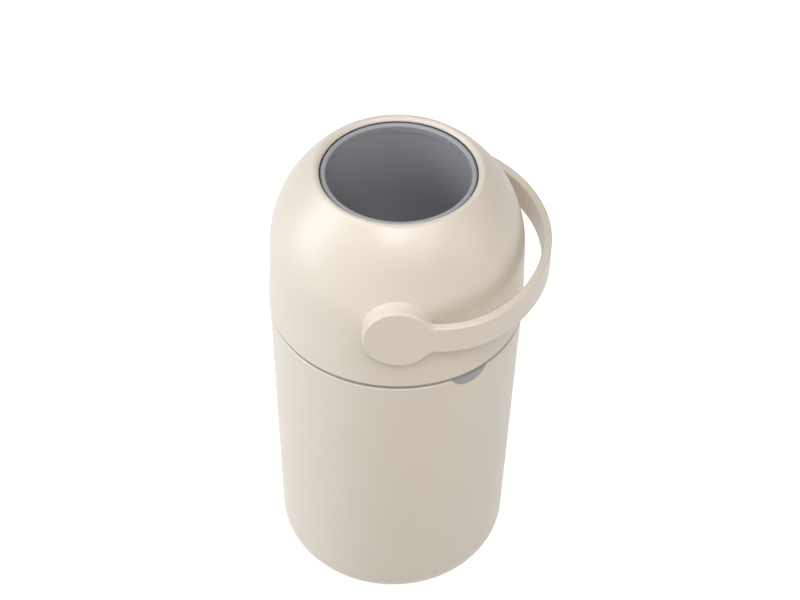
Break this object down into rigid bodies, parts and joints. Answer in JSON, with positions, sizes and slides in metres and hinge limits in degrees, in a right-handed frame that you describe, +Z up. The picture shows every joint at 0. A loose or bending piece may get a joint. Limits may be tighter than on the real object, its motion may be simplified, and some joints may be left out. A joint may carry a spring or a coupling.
{
  "type": "diaper pail",
  "caption": "floor pail with a domed head: a strap handle turns a ball with an open bore, and a weighted piston in it pushes the load down into the bucket",
  "frame": {"origin": "on the floor, under the middle of the bucket", "axes": "+Z up; the handle's axis runs along Y, and the handle lies towards +X at rest; the front hub faces -Y"},
  "size_m": [0.295, 0.291, 0.5331],
  "materials": {
    "cream_shell": "satin, fine grain",
    "grey_plastic": "satin",
    "inner_plastic": "matt",
    "pivot_plastic": "smooth acetal",
    "black_rubber": "matt",
    "steel": "zinc plated"
  },
  "bodies": {
    "base": {"bucket": "cream_shell", "foot_ring": "black_rubber", "collar_ring": "grey_plastic", "latch_guide": "inner_plastic", "guide_screws": "steel", "latch_spring": "steel", "hinge_pin": "steel"},
    "latch": {"release_button": "grey_plastic"},
    "head": {"dome_shell": "cream_shell", "discharge_bowl": "grey_plastic", "bowl_screws": "steel", "rim_gasket": "black_rubber", "discharge_seal": "black_rubber", "opening_seal": "black_rubber", "front_bush": "pivot_plastic", "rear_bush": "pivot_plastic"},
    "drum": {"bore_sleeve": "grey_plastic", "rim_ring_upper": "grey_plastic", "rim_ring_lower": "grey_plastic", "drum_half_upper": "grey_plastic", "drum_half_lower": "grey_plastic", "drum_screws": "steel", "front_trunnion": "pivot_plastic", "rear_trunnion": "pivot_plastic", "handle": "cream_shell", "handle_screws": "steel"},
    "piston": {"piston_cup_upper": "inner_plastic", "piston_cup_lower": "inner_plastic", "piston_seal_upper": "black_rubber", "piston_seal_lower": "black_rubber", "piston_weight": "steel"}
  },
  "joints": [
    {"name": "head_hinge", "type": "hinge", "parent": "base", "child": "head", "pos_m": [-0.07966, 0.11634, 0.3525], "axis": [-0.8251, -0.565, 0], "range_deg": [0, 95]},
    {"name": "drum_turn", "type": "hinge", "parent": "head", "child": "drum", "pos_m": [0, 0, 0.4333], "axis": [0, -1, 0], "range_deg": [0, 180]},
    {"name": "piston_slide", "type": "slide", "parent": "drum", "child": "piston", "axis": [0, 0, 1], "range_m": [0, 0.1465]},
    {"name": "button_press", "type": "slide", "parent": "base", "child": "latch", "axis": [-0.565, 0.8251, 0], "range_m": [0, 0.003], "stiffness_N_per_m": 600, "deforming": ["latch_spring"]}
  ]
}
